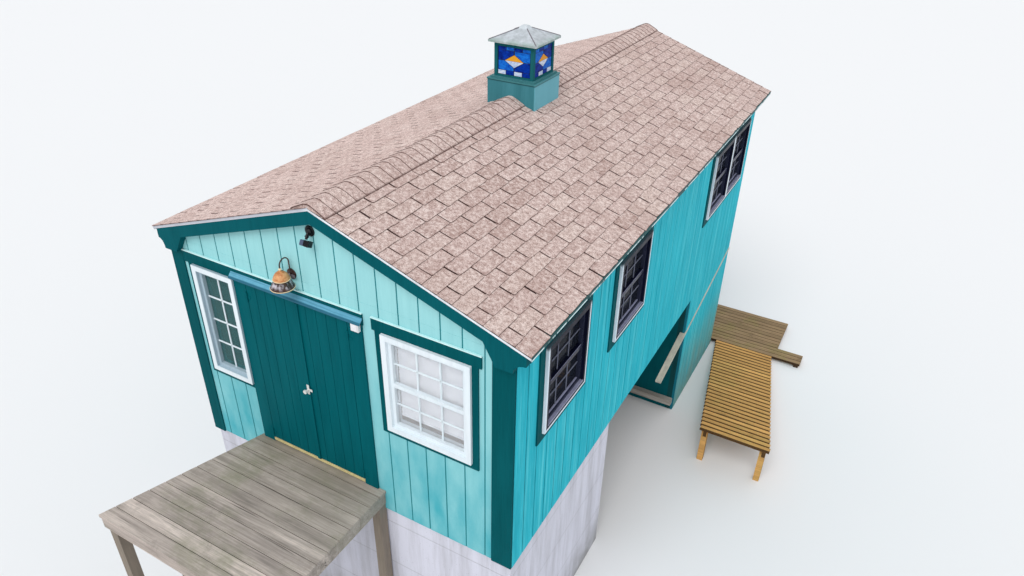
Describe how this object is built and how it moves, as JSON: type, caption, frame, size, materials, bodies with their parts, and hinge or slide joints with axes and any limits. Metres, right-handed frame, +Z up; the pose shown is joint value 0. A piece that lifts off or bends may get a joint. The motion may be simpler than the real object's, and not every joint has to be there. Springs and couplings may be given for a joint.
{
  "type": "gabled boathouse with deck and ramp",
  "caption": "Narrow gabled boathouse in aqua and teal siding over an open boat bay, with a roof cupola, plank decks and a slatted ramp",
  "frame": {"origin": "On the lowest ground, under the middle of the front foundation wall", "axes": "X to the right along the front gable, Y back along the ridge, Z up"},
  "size_m": [5.458, 10.069, 5.934],
  "materials": {
    "concrete": "rough poured concrete, pale grey with a faint blue cast",
    "teal_siding": "grooved panel siding, teal paint worn and stained",
    "aqua_siding": "grooved panel siding, light aqua paint",
    "dark_teal_trim": "dark teal satin paint on boards",
    "weathered_wood": "grey weathered deck boards",
    "fresh_wood": "golden brown timber",
    "shingles": "pinkish brown mineral-faced shingles",
    "white_frames": "smooth white frames and slats",
    "window_glass": "clear window glass over a dark room",
    "coloured_glass": "blue, amber and pale leaded glass",
    "hood_paint": "blue-grey paint",
    "lamp_metal": "copper-coloured enamel, dulled",
    "black_metal": "black satin paint",
    "grey_metal": "zinc-plated hardware, dull",
    "roof_metal": "grey-green sheet metal, weathered"
  },
  "bodies": {
    "building": {"foundation_front": "concrete", "foundation_sides": "concrete", "lower_front_wall": "dark_teal_trim", "lower_side_walls": "teal_siding", "lower_back_wall": "teal_siding", "bay_timber": "weathered_wood", "sloping_rail": "weathered_wood", "floor_joists": "fresh_wood", "floor": "fresh_wood", "front_wall_left": "aqua_siding", "front_wall_right": "aqua_siding", "front_wall_over_door": "aqua_siding", "front_gable": "aqua_siding", "left_wall": "teal_siding", "right_wall": "teal_siding", "back_wall": "teal_siding", "roof_left": "shingles", "roof_right": "shingles", "ridge_cap": "shingles", "rake_boards": "dark_teal_trim", "fascia_boards": "dark_teal_trim", "corner_boards": "dark_teal_trim", "window_surrounds": "dark_teal_trim", "front_window_frames": "white_frames", "right_window_frames": "white_frames", "left_window_frames": "white_frames", "back_window_frames": "white_frames", "window_glass": "window_glass", "window_blind": "white_frames", "door_casing": "dark_teal_trim", "door_threshold": "fresh_wood", "door_hood": "hood_paint", "door_lamp": "lamp_metal", "floodlight": "black_metal", "cupola_base": "dark_teal_trim", "cupola_lantern": "dark_teal_trim", "cupola_glass": "coloured_glass", "cupola_roof": "roof_metal", "front_deck": "weathered_wood", "deck_posts": "weathered_wood", "back_landing": "weathered_wood", "side_ramp": "fresh_wood"},
    "left_door": {"door_left": "dark_teal_trim"},
    "right_door": {"door_right": "dark_teal_trim", "door_latch": "grey_metal"}
  },
  "joints": [
    {"name": "left_door_hinge", "type": "hinge", "parent": "building", "child": "left_door", "pos_m": [-0.923, -0.152, 3.25], "axis": [0, 0, -1], "range_deg": [0, 110]},
    {"name": "right_door_hinge", "type": "hinge", "parent": "building", "child": "right_door", "pos_m": [0.252, -0.152, 3.25], "axis": [0, 0, 1], "range_deg": [0, 110]}
  ]
}
